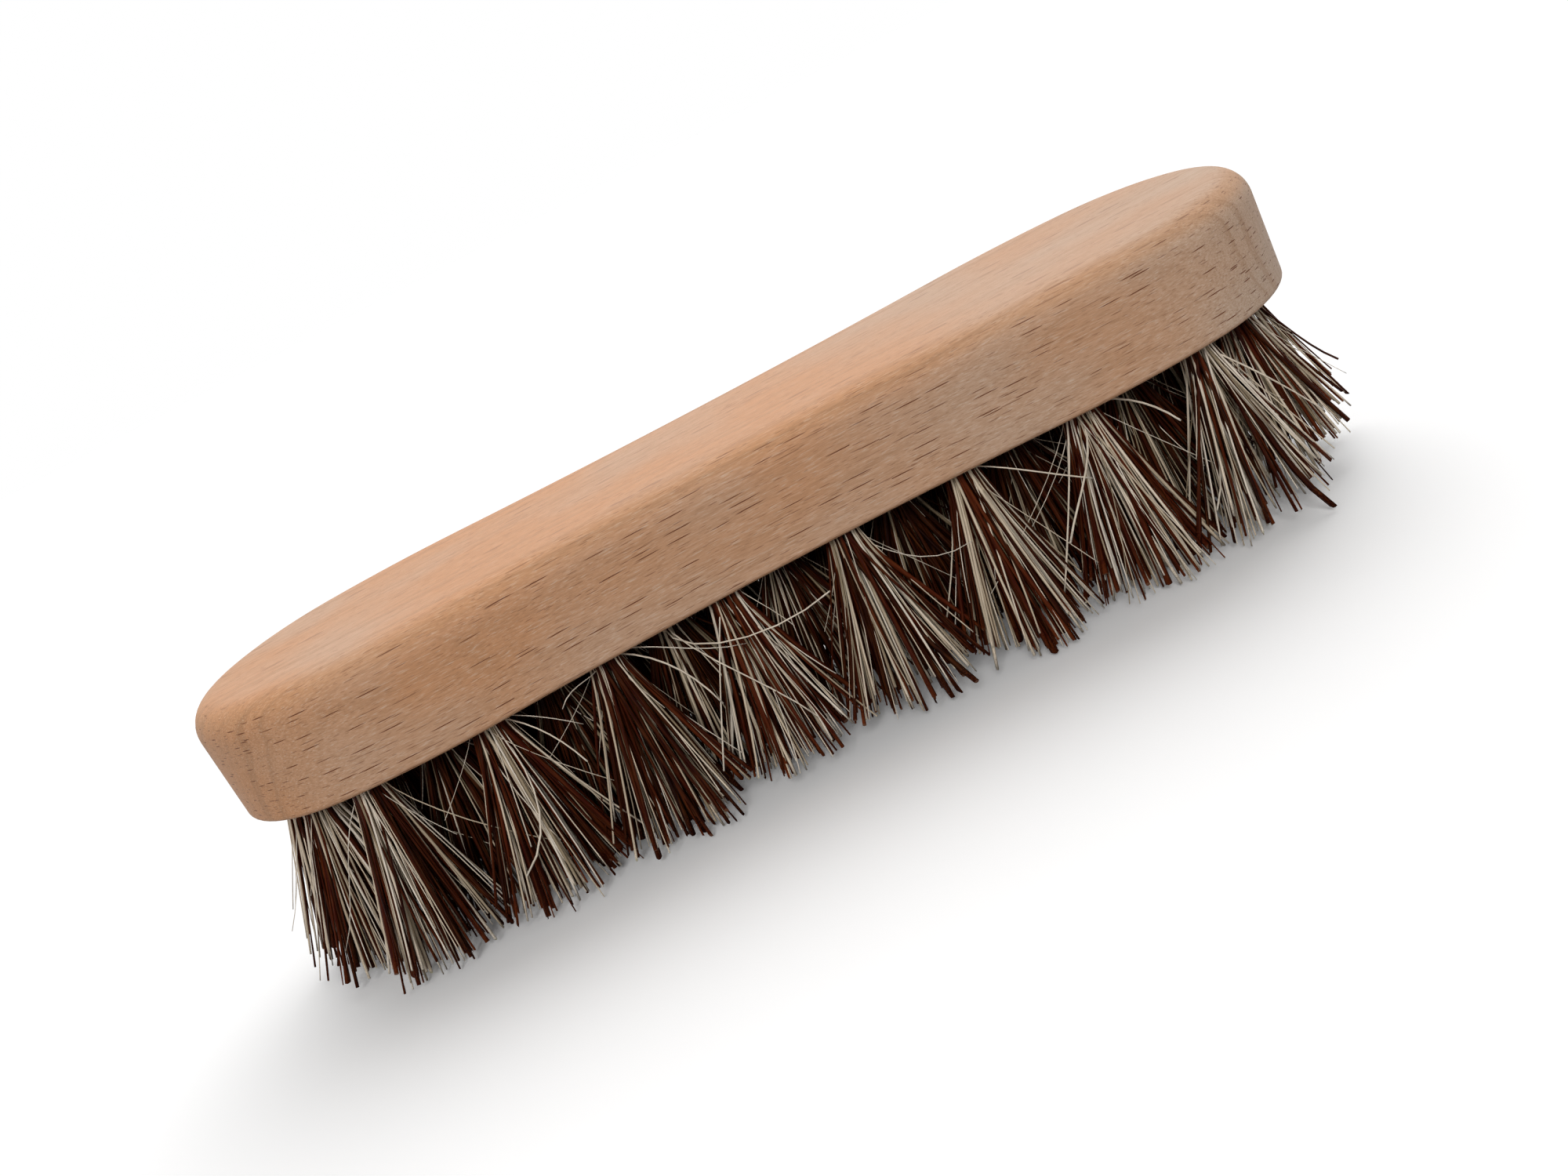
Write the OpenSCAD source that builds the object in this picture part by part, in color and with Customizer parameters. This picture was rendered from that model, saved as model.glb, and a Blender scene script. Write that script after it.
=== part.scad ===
// A hand scrub brush: one waisted wooden block, bored from below, with a tuft of stiff plant
// fibres stapled into each hole. Millimetres, +Z up, +X along the block. The origin lies under
// the middle of the block, in the plane of the cut fibre tips that the brush stands on.

/* [Block] */
// Length of the block
block_l = 200; // [160:1:240]
// Width of the block across its two bulges
block_w = 60; // [54:0.5:72]
// Thickness of the block
block_t = 20.6; // [17:0.1:30]
// How far each long side draws in from the bulges to the waist
waist_in = 3.5; // [1:0.1:5]
// How much smaller than half the width the radius of the rounded ends is
end_in = 1.2; // [0.4:0.1:4]
// Radius of the bulging arcs of the long sides
bulge_r = 87; // [60:1:140]
// Radius of the rounded upper edge
top_r = 5.4; // [1:0.1:8]
// Radius of the eased lower edge
bottom_r = 1; // [0.4:0.1:2]

/* [Holes] */
// Diameter of the tuft holes
hole_d = 6.5; // [6:0.1:8]
// Depth of a tuft hole along its own axis
hole_depth = 12; // [9:0.1:14]
// From the middle of an edge hole to the block's side at the waist
edge_inset = 5.5; // [4.8:0.1:7]
// From the block's end to the last hole of an inner row
row_inset = 13.6; // [12:0.1:18]
// From the block's end to the last hole of the middle row
tip_inset = 8; // [6.5:0.1:9]
// Hole spaces of an inner row on each side of the block's middle
spaces = 4; // [3:1:4]
// Outward lean of the edge rows' holes, in degrees
side_lean = 7; // [0:0.5:10]
// Outward lean of the last holes of the middle row, in degrees
end_lean = 10; // [0:0.5:14]

/* [Fibres] */
// How far the fibres stand out of the block
trim_l = 34; // [24:0.5:42]
// Strands in a tuft
strands = 10; // [7:1:11]
// Width of a strand
strand_w = 0.8; // [0.5:0.05:0.85]
// Half the spread of a tuft's tips along the block
fan_l = 8.5; // [5:0.1:9.5]
// Half the spread of a tuft's tips across the block
fan_w = 5.4; // [3.5:0.1:5.5]
// How far the raggedest tips end above the longest ones
ragged = 2.5; // [1:0.1:4]
// How much of the longest tips is cut off flat
flat_cut = 0.5; // [0.2:0.1:0.8]
// Gap between a tuft's folded root and its hole
root_gap = 0.25; // [0.1:0.05:0.4]

/* [Anchors] */
// Height of the flat anchor wire, along the hole
anchor_h = 1.8; // [1.2:0.1:2.4]
// Thickness of the anchor wire
anchor_t = 0.5; // [0.3:0.05:0.8]
// How far each end of an anchor bites into the wood beside its hole
anchor_bite = 1.2; // [0.6:0.1:1.6]
// Fibre between the anchor and the end of the hole
fold_t = 1.6; // [1:0.1:2.5]
// Gap around an anchor
anchor_gap = 0.15; // [0.05:0.05:0.25]

/* [Hidden] */
$fn = 96;
// Steepness of the rise in lean towards the ends
lean_power = 4;
// Angle between one strand and the next around a tuft
golden_angle = 137.508;
// Depth of the strands' upper ends in the folded root
strand_root = 1;
// Extra length of cutting solids past what they cut
over = 2;

// Outline of the block: two end arcs, four bulging arcs and two hollow waist arcs, all tangent.
// The angles where they meet have four places, and the arcs' middles follow from them.
function places(v) = round(v * 10000) / 10000;
end_r = block_w / 2 - end_in;
end_x = block_l / 2 - end_r;
end_angle = places(asin((bulge_r - block_w / 2) / (bulge_r - end_r)));
bulge_x = end_x - (bulge_r - end_r) * cos(end_angle);
bulge_y = (end_r - bulge_r) * sin(end_angle);
waist_half = block_w / 2 - waist_in;
waist_rise = waist_half - bulge_y;
arcs_gap = bulge_x * bulge_x + waist_rise * waist_rise - bulge_r * bulge_r;
waist_angle = places(atan(bulge_x / (waist_rise + arcs_gap / (2 * (bulge_r - waist_rise)))));
waist_r = bulge_x / sin(waist_angle) - bulge_r;
waist_y = bulge_y + (bulge_r + waist_r) * cos(waist_angle);
waist_depth = block_w;

// Holes: five rows, every second one set over by half a space
ROWS = ["near_edge", "near_inner", "middle", "far_inner", "far_edge"];
space = (block_l / 2 - row_inset) / spaces;
edge_row_y = waist_half - edge_inset;
tip_x = block_l / 2 - tip_inset;
function row_y(row) = (row - 2) * edge_row_y / 2;
function half_steps() = [for (i = [-spaces : spaces - 1]) (i + 0.5) * space];
function full_steps() = [for (i = [-spaces : spaces]) i * space];
function row_xs(row) =
    row == 2 ? concat([-tip_x], half_steps(), [tip_x]) :
    row % 2 == 0 ? half_steps() : full_steps();

// Slope of a hole's axis away from upright, along and across the block
function slope_x(x) = tan(end_lean * pow(abs(x) / tip_x, lean_power)) * sign(x);
function slope_y(y) = tan(side_lean * y / edge_row_y);

// Strand positions: a sunflower spiral, drawn small at the root and wide at the tips
root_d = hole_d - 2 * root_gap;
root_r = root_d / 2 - 0.75 * strand_w;
anchor_z = hole_depth - fold_t - anchor_h;
function side(v) = v < 0 ? -1 : 1;
function fraction(v) = v - floor(v);
function spiral(i) = sqrt((i + 0.5) / strands) * [cos(golden_angle * i), sin(golden_angle * i)];
function tip_z(x, y, i) = max(0, ragged * fraction(0.71 * abs(x) + 0.37 * abs(y) + 0.618 * i) - flat_cut);

// Middle of a strand at height z above the tips' plane
function strand_at(x, y, i, z) =
    let (
        down = (trim_l - z) / trim_l,
        spread_x = side(x) * (root_r + (fan_l - root_r) * down),
        spread_y = side(y) * (root_r + (fan_w - root_r) * down)
    )
    [
        x + slope_x(x) * trim_l * down + spread_x * spiral(i).x,
        y + slope_y(y) * trim_l * down + spread_y * spiral(i).y,
        z
    ];

// Half section of the block, w wide, with its rounded upper and eased lower edge
module section(w) {
    square([w - top_r, block_t]);
    square([w - bottom_r, block_t - top_r]);
    translate([0, bottom_r])
        square([w, block_t - top_r - bottom_r]);
    translate([w - top_r, block_t - top_r])
        circle(top_r);
    translate([w - bottom_r, bottom_r])
        circle(bottom_r);
}

// Children moved by v in a coarse and a fine step, so that no digit is lost
module moved(v) {
    coarse = [for (c = v) round(c * 10) / 10];
    translate(coarse)
        translate(v - coarse)
            children();
}

// Half of the rounded end, from the middle line to the bulging arc
module end_arc() {
    moved([end_x, 0, 0])
        rotate_extrude(angle = end_angle)
            section(end_r);
}

// One bulging arc's wood, with what lies past the middle line
module bulge_arc() {
    moved([bulge_x, bulge_y, 0])
        rotate_extrude(start = end_angle, angle = 90 + waist_angle - end_angle)
            section(bulge_r);
}

// Half of a hollow waist arc's wood, with what lies past the middle line
module waist_arc() {
    moved([0, waist_y, 0])
        rotate_extrude(start = -90, angle = waist_angle)
            moved([waist_r + waist_depth, 0])
                mirror([1, 0])
                    section(waist_depth);
}

// A quarter of the block
module quarter() {
    end_arc();
    intersection() {
        translate([0, 0, -over])
            cube([block_l, block_w, block_t + 2 * over]);
        union() {
            bulge_arc();
            waist_arc();
        }
    }
}

// Children placed in a hole's own frame: origin in its mouth, +Z along its axis into the wood
module in_hole(x, y) {
    inward = [-slope_x(x), -slope_y(y), 1] / norm([slope_x(x), slope_y(y), 1]);
    translate([x, y, trim_l])
        rotate([-asin(inward.y), atan2(inward.x, inward.z), 0])
            children();
}

// Space that an anchor's wire takes, with a gap on every side
module anchor_wire(gap) {
    length = hole_d + 2 * anchor_bite + 2 * gap;
    translate([-anchor_t / 2 - gap, -length / 2, anchor_z - gap])
        cube([anchor_t + 2 * gap, length, anchor_h + 2 * gap]);
}

// The wooden block with its blind tuft holes
module block() {
    color("burlywood")
        difference() {
            translate([0, 0, trim_l])
                for (m = [0, 1], n = [0, 1])
                    mirror([m, 0, 0])
                        mirror([0, n, 0])
                            quarter();
            for (row = [0 : 4]) for (x = row_xs(row)) in_hole(x, row_y(row)) {
                translate([0, 0, -over])
                    cylinder(h = hole_depth + over, d = hole_d);
                anchor_wire(anchor_gap);
            }
        }
}

// One strand, from inside the folded root to its tip, cut level at both ends
module strand(x, y, i) {
    ends = [strand_at(x, y, i, tip_z(x, y, i)), strand_at(x, y, i, trim_l + strand_root)];
    corners = [[-1, -1, 0], [1, -1, 0], [1, 1, 0], [-1, 1, 0]] * strand_w / 2;
    polyhedron(
        points = [for (end = ends) for (corner = corners) end + corner],
        faces = concat(
            [[0, 1, 2], [0, 2, 3], [6, 5, 4], [7, 6, 4]],
            [for (k = [0 : 3]) [k, k + 4, (k + 1) % 4 + 4]],
            [for (k = [0 : 3]) [k, (k + 1) % 4 + 4, (k + 1) % 4]]
        )
    );
}

// One tuft: strands fused to the folded root that fills the hole, slotted for its anchor
module tuft(x, y) {
    color("saddlebrown")
        difference() {
            in_hole(x, y)
                translate([0, 0, -over])
                    cylinder(h = hole_depth - root_gap + over, d = root_d);
            translate([x - hole_d, y - hole_d, trim_l - 2 * over])
                cube([2 * hole_d, 2 * hole_d, 2 * over]);
            in_hole(x, y)
                anchor_wire(anchor_gap);
        }
    for (i = [0 : strands - 1])
        color(i % 2 == 0 ? "wheat" : "saddlebrown")
            strand(x, y, i);
}

// The flat wires that hold one row of tufts down in their holes
module anchors(row) {
    color("silver")
        for (x = row_xs(row))
            in_hole(x, row_y(row))
                anchor_wire(0);
}

block();
for (row = [0 : 4]) {
    for (i = [1 : len(row_xs(row))])
        tuft(row_xs(row)[i - 1], row_y(row));
    anchors(row);
}
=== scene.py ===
"""A wooden scrub brush: a beech block, wire anchors and tufts of mixed plant fibre.

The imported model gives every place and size. This file gives the block and the anchors their
finish, and puts full tufts of fibre in place of the plain ones.
"""

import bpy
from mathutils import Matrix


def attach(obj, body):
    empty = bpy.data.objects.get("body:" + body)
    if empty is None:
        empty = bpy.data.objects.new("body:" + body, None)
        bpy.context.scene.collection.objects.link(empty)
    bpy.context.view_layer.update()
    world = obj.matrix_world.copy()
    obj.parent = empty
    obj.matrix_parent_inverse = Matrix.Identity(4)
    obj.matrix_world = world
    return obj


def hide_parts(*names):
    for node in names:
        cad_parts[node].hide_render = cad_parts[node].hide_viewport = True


bl_info = {
    "name": "Scrub brush",
    "version": (1, 0, 0),
    "blender": (4, 5, 0),
    "location": "View3D > Sidebar > Scrub brush",
    "description": "Beech block, wire anchors and union fibre tufts of a scrub brush",
    "category": "Add Mesh",
}

import math

import bpy
import numpy as np
from mathutils import Matrix, Vector

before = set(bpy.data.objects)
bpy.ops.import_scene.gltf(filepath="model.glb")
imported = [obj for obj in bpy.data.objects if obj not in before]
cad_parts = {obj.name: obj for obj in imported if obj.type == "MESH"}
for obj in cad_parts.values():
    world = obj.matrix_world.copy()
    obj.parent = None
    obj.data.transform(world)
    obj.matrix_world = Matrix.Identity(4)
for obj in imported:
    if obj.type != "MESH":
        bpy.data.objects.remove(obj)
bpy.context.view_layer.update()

MM = 0.001
BODY = "root"

# Places and sizes are in millimetres down to the strays, as in the part's source, and in metres
# after them

# The hole pattern. A row has a name, a place across the brush and a number of holes.
MOUTH_Z = 34.0
PITCH = 21.6
LAST_HOLE = 92.0
EDGE_ROW = 21.0
ROWS = (
    ("near_edge", -EDGE_ROW, 8),
    ("near_inner", -EDGE_ROW / 2, 9),
    ("middle", 0.0, 10),
    ("far_inner", EDGE_ROW / 2, 9),
    ("far_edge", EDGE_ROW, 8),
)
HOLE_RADIUS = 3.25
ROOT_DEPTH = 11.5
SIDE_LEAN = math.tan(math.radians(7))
END_LEAN = math.tan(math.radians(10))
LEAN_POWER = 4
WIRE_HALF = 0.25

# The furthest that fibre reaches from the middle of the brush, along and across
LONGEST = 107.0
WIDEST = 31.3
# Inner tufts stand behind the edge rows and nearer the middle than this
INNER_REACH = 80.0
# Where the paler fibre of the right end starts
PALE_END = 70.0

# Kinds of strand, as they are numbered in the arrays
PALE, DARK, HAIR = 0, 1, 2
HAIR_WIDTHS = (0.11, 0.2)
HAIR_LENGTHS = (12, 31)
# How many strands more or less than the setting a tuft may have
PALE_VARIES, DARK_VARIES = 8, 5
# Above 1, more strands are near the thinnest width than near the thickest
THIN_BIAS = 1.9
# How much a strand's width varies along it, and its share at the root and at the tip
SWELL = 0.07
TAPER = (1.06, 0.92)
# Gap between the outer strands and the wall of their hole
WALL_GAP = 0.3

# The strands' places in their hole: a sunflower spiral, by its angles in radians, with some noise
FULL_TURN = 6.283
GOLDEN_TURN = 2.399963
SPOT_NOISE = 0.04
# Dark strands follow a wave: its angle over the hole's radius, and the noise on it
CLUMP_TURN = 5.6
CLUMP_NOISE = 1.05
# Locks are strands that hang together: their number, how far from the hole's middle they lie, how
# much each one fans, and how far a strand follows its own lock in the edge rows and in the others
LOCKS = 12
LOCK_REACH = 0.95
LOCK_FANS = (0.85, 1.25)
EDGE_PULL = 0.6
INNER_PULL = 0.3 * EDGE_PULL

# Slopes away from the hole's axis: noise of a strand along and across, and of a whole tuft
SLOPE_NOISE = (0.05, 0.035)
TUFT_NOISE = 0.02
# Some strands go astray a little, and the wild ones much more
ASTRAY_SHARE, ASTRAY_NOISE = 0.16, 0.13
WILD_NOISE = (0.25, 0.1)
HAIR_NOISE = 0.3
# Outer strands that spread more: from this share of the hole's radius on, how many, and the slope
FRINGE_FROM, FRINGE_SHARE, FRINGE_SLOPE = 0.75, 0.35, 0.14
# The last tufts lean out less: the share that they lose, and how suddenly that starts
END_LOSS, END_POWER = 0.5, 6
STEEPEST_ACROSS = 0.19
# Depth below the block at which a strand has taken half of its own slope
TURN_DEPTH = 3
# How far the tips bend aside, along and across, and how much more the wild ones do
BEND = (1.0, 0.6)
WILD_BEND = (2.5, 0.8)

# Lengths: noise on all, and the shares that are cut short or stand out, and by how much
LENGTH_NOISE = 0.85
SHORT_SHARE, SHORT_BY = 0.2, (0.5, 4.0)
LONG_SHARE, LONG_BY = 0.12, (0.6, 2.8)
# How much shorter the outermost strands of a tuft are
OUTER_WEAR = 1.4
# Gap that a strand leaves to the floor, drawn between these
FLOOR_GAP = (0.2, 1.2)
# How far along the brush a tip stands from its hole, for a slope of 1
TIP_SHIFT = 25
# How much shorter the worn fibre is along the brush: places, and amounts there
WORN = (
    (-92, -75, -56, -42, -34, -20, -11, 0, 11, 24, 33, 45, 54, 64, 72, 80, 92, 104),
    (1.6, 1.4, 1.0, 2.6, 0.8, 3.2, 3.2, 4.6, 3.0, 4.0, 1.2, 2.2, 1.0, 0.2, 2.0, 3.8, 6.0, 8.0),
)

# A strand's skin: its corners, and its rings as shares of its length, those below 0 in the hole
SIDES = 6
RINGS = (-1.0, -0.05, 0.06, 0.16, 0.28, 0.42, 0.58, 0.76, 0.91, 1.0)
# Shares of a strand's own turn that its section has made at its root and at its tip
TWIST = (0.2, 1.0)
# Ridges of a dark strand, their share on other strands, and how flat the strands are
RIDGE = 0.16
PALE_RIDGE = 0.4
DARK_FLAT, PALE_FLAT = (0.12, 0.42), (0.0, 0.18)
# Oblique cut of a tip, as a share of its radius, and the steepest one
SLANT, STEEPEST_SLANT = 0.9, 1.3

# Tones from 0, dark, to 1, light: the usual one of an inner tuft, kept low as painted shade, and
# of an outer tuft, the noise of a strand and of a whole tuft, and the ends of the range
INNER_SHADE_TONE, OUTER_TONE = 0.15, 0.52
TONE_NOISE, TUFT_TONE_NOISE = 0.31, 0.06
TONE_ENDS = (0.02, 0.98)
# Share of its tone that a dark strand takes, range of the hair-thin ones, and tone of each kind of
# stray
DARK_TONE = 0.62
HAIR_TONES = (0.6, 1.0)
STRAY_TONES = (0.8, 0.2, 0.95)
# How much higher the tone of a worn tip is
TIP_FADE = 0.3

# How far under the block a stray's own path starts
STRAY_START = 0.2
# Strands that stand out from the rest: tuft, kind, width, and the points that they pass after
# leaving their hole
STRAYS = (
    (
        "near_inner_4",
        PALE,
        0.28,
        ((-17, -26, 29), (-10.4, -28.5, 26.8), (-3.4, -29, 27.2), (4.5, -28.5, 27.5)),
    ),
    ("near_inner_4", PALE, 0.27, ((-17.6, -26, 27), (-11.5, -28, 18.5), (-6.1, -29, 9.4))),
    ("near_edge_7", PALE, 0.43, ((53.2, -24, 29.5), (48.7, -28, 23.8), (42.4, -29, 15.9))),
    ("near_edge_6", PALE, 0.27, ((36, -23, 32.3), (43.5, -26, 27.8), (50.1, -28, 23.6))),
    ("near_edge_6", HAIR, 0.15, ((28.3, -24, 26.6), (23.8, -28, 14.6))),
    ("near_edge_5", HAIR, 0.16, ((15, -22, 28.5), (19.1, -25, 25.2), (28.4, -28, 23.7))),
    ("middle_10", DARK, 0.46, ((96.6, -4, 25.4), (99.3, -4, 20.6), (104.5, -4, 13.4))),
    ("near_edge_8", DARK, 0.7, ((79.2, -25.5, 19), (81.7, -28.7, 6), (83.6, -31, 1.0))),
    (
        "near_edge_8",
        PALE,
        0.31,
        ((73.4, -24, 30), (72.3, -25, 22), (70.6, -26, 15), (67.3, -26, 7.8)),
    ),
    ("near_edge_8", PALE, 0.28, ((83.7, -26, 23.4), (89.6, -26.5, 14.8))),
    ("near_edge_7", PALE, 0.35, ((61.2, -23, 31.2), (67, -27.5, 25))),
    ("near_edge_3", HAIR, 0.16, ((-26.4, -24, 32.8), (-20.7, -27, 30.5), (-10.9, -27, 25.9))),
    ("near_edge_3", PALE, 0.31, ((-26, -24, 30.6), (-18.8, -28, 19.2))),
    ("near_edge_4", PALE, 0.27, ((-15.4, -26, 26.5), (-19.5, -28, 18.5), (-23.9, -29, 9.2))),
    ("near_edge_2", HAIR, 0.17, ((-48.9, -24, 32.4), (-39.9, -27, 26.8))),
    ("near_edge_2", PALE, 0.28, ((-48.5, -24, 30.6), (-42.2, -28, 21.3))),
    ("near_edge_3", HAIR, 0.17, ((-35, -24, 32.4), (-38, -26, 32.4), (-41.5, -27, 30.6))),
    ("near_edge_2", PALE, 0.34, ((-51.9, -25, 26), (-52.4, -28, 18.8), (-59.7, -29.5, 9.3))),
    ("near_edge_1", HAIR, 0.14, ((-80, -23.5, 30), (-86, -25, 20), (-92, -25.5, 11))),
    ("middle_1", HAIR, 0.14, ((-95.5, -5, 26), (-98.5, -8, 20), (-103.5, -10, 12.7))),
)

# The photograph's viewpoint: the camera's matrix row by row (its right, its up, its back and its
# place, in metres), and its focal length on a sensor 36 mm wide
CAMERA_ROWS = (
    (0.88366363, 0.46793119, -0.01337863, -0.00484),
    (-0.15002742, 0.25601569, -0.95495955, -0.25805),
    (-0.44343022, 0.84587018, 0.29643426, 0.10286),
)
CAMERA_LENS = 35.084
# Half the side of the floor, in metres
FLOOR_HALF = 5.0
WHITE = (1.0, 1.0, 1.0, 1.0)

# A map range node's sockets: two values of a pattern, and what they become
SPAN = ("From Min", "From Max", "To Min", "To Max")

# Shades of a fibre, as the settings name them
SHADES = ("low", "middle", "high", "streak")
# Shades of the cut ends, from dark to light, and their streaks. They show the matt pith, which is
# lighter in the dark fibre.
PALE_CUT = ("#B9B08C", "#CFC7A8", "#E2DCC6", "#A89E7C")
DARK_CUT = ("#4A2A1A", "#6B4028", "#8C5C3C", "#3A1F12")

# Lens-shaped marks of the beech, in metres: the size of a cell that holds one or none, the mark's
# half length, width and height, how rare it is, and a shift that sets the patterns apart
WOOD_MARKS = {
    # Wood rays cut lengthwise: dark flecks up to 5.6 mm long and 0.2 mm thick
    "long_rays": ((0.0058, 0.0016, 0.00125), (0.0028, 0.00065, 0.0001), 0.26, (0.0, 0.0, 0.0)),
    # Shorter ones between them, up to 2.4 mm long
    "short_rays": ((0.0034, 0.001, 0.001), (0.0012, 0.0004, 0.00008), 0.25, (0.31, 0.17, 0.53)),
    # Pores: ticks 1.2 mm long and 0.1 mm wide, close together
    "pores": ((0.0016, 0.0004, 0.0004), (0.0006, 0.0001, 0.00006), 0.1, (0.7, 0.2, 0.4)),
}
# Noise patterns of the beech: repeats in a metre along, across and up, detail, roughness, shift
WOOD_NOISES = {
    # Growth rings wander in and out over some 60 mm along the brush
    "wander": ((16.0, 30.0, 45.0), 2.0, 0.5, (0.0, 0.0, 0.0)),
    # Patches: slow changes of tone over 25 to 45 mm
    "patch": ((22.0, 30.0, 40.0), 2.0, 0.5, (0.35, 0.2, 0.0)),
    # Broad streaks 1.2 mm wide and 30 mm long
    "broad": ((32.0, 800.0, 800.0), 3.0, 0.6, (0.0, 0.0, 0.0)),
    # Fibre: fine streaks 0.2 mm wide and 3 mm long
    "fibre": ((330.0, 5000.0, 5000.0), 3.0, 0.7, (0.0, 0.0, 0.0)),
}
# Growth rings 2.6 mm apart: how many in a metre, how far they wander, and their lean off upright
RINGS_IN_METRE = 390.0
RING_WANDER = 0.009
RING_LEAN = 0.18
# Shades of the pale streaks between the darker ones, partly real grain and partly a painted
# glint, and of the pores
PALE_GRAIN_AND_GLINT, PORE = "#EAD8C4", "#8A5C3C"
# Shift of a fibre's streaks for a tone that is 1 higher, so that no two fibres share them
STREAK_SHIFT = 37.0


# Shared helpers


def linear(code):
    """Turns an sRGB hex value into the linear colour that Blender's sockets take."""
    parts = [int(code[k : k + 2], 16) / 255 for k in (1, 3, 5)]
    parts = [c / 12.92 if c <= 0.04045 else ((c + 0.055) / 1.055) ** 2.4 for c in parts]
    return (*parts, 1.0)


def add(tree, kind, values=None, links=None, **settings):
    """Adds one shader node with its settings, its sockets' values and its links.

    A link comes from a socket, or from a node, which means the node's first output.
    """
    node = tree.nodes.new("ShaderNode" + kind)
    for name, value in settings.items():
        setattr(node, name, value)
    for socket, value in (values or {}).items():
        node.inputs[socket].default_value = value
    for socket, source in (links or {}).items():
        tree.links.new(getattr(source, "outputs", (source,))[0], node.inputs[socket])
    return node


def blank_material(name):
    """Makes an empty node material and gives its tree."""
    material = bpy.data.materials.new(name)
    material.use_nodes = True
    material.node_tree.nodes.clear()
    return material, material.node_tree


def skin(verts, quads, caps=None, name="piece"):
    """Makes a mesh of quads, and of caps with more corners, from whole arrays."""
    mesh = bpy.data.meshes.new(name)
    flat = quads.reshape(-1)
    starts = np.arange(len(quads)) * 4
    if caps is not None:
        starts = np.concatenate([starts, len(flat) + np.arange(len(caps)) * caps.shape[1]])
        flat = np.concatenate([flat, caps.reshape(-1)])
    mesh.vertices.add(len(verts))
    mesh.vertices.foreach_set("co", verts.astype(np.float32).reshape(-1))
    mesh.loops.add(len(flat))
    mesh.loops.foreach_set("vertex_index", flat.astype(np.int32))
    mesh.polygons.add(len(starts))
    mesh.polygons.foreach_set("loop_start", starts.astype(np.int32))
    mesh.update(calc_edges=True)
    mesh.validate()
    return mesh


def place(mesh):
    """Links a mesh to the scene as an object at the origin."""
    piece = bpy.data.objects.new(mesh.name, mesh)
    bpy.context.scene.collection.objects.link(piece)
    return piece


# Materials. A colour mix has its amount in socket 0, the colour under it in socket 6 and the one
# over it in socket 7, and gives its result in output 2.


def seen_directly(tree):
    """1 for what the camera sees straight, in a reflection or through something, and else 0."""
    ray = add(tree, "LightPath")
    seen = ray.outputs["Is Camera Ray"]
    for sort in ("Is Glossy Ray", "Is Transmission Ray"):
        seen = add(tree, "Math", links={0: seen, 1: ray.outputs[sort]}, operation="MAXIMUM")
    return seen


def wood_marks(tree, here, cell, reach, rarity, shift):
    """Lens-shaped marks, one or none in each cell: 0 outside, and up to 1 inside.

    A mark is where the distance from its cell's point, in units of its own half size, is under 1.
    The cell's random colour says if it is there, and how strong.
    """
    scale = tuple(1 / c for c in cell)
    placed = add(tree, "Mapping", {"Location": shift, "Scale": scale}, {"Vector": here})
    cells = add(tree, "TexVoronoi", {"Scale": 1.0}, {"Vector": placed})
    both = {0: placed, 1: cells.outputs["Position"]}
    off = add(tree, "VectorMath", links=both, operation="SUBTRACT")
    size = tuple(c / r for c, r in zip(cell, reach))
    shaped = add(tree, "VectorMath", {1: size}, {0: off}, operation="MULTIPLY")
    away = add(tree, "VectorMath", links={0: shaped}, operation="LENGTH").outputs["Value"]
    ends = dict(zip(SPAN, (0.7, 1.0, 1.0, 0.0)))
    lens = add(tree, "MapRange", ends, {"Value": away})
    dice = add(tree, "SeparateColor", links={0: cells.outputs["Color"]})
    ends = dict(zip(SPAN, (rarity - 0.01, rarity + 0.4, 0.0, 1.0)))
    chosen = add(tree, "MapRange", ends, {"Value": dice})
    return add(tree, "Math", links={0: lens, 1: chosen}, operation="MULTIPLY")


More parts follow.
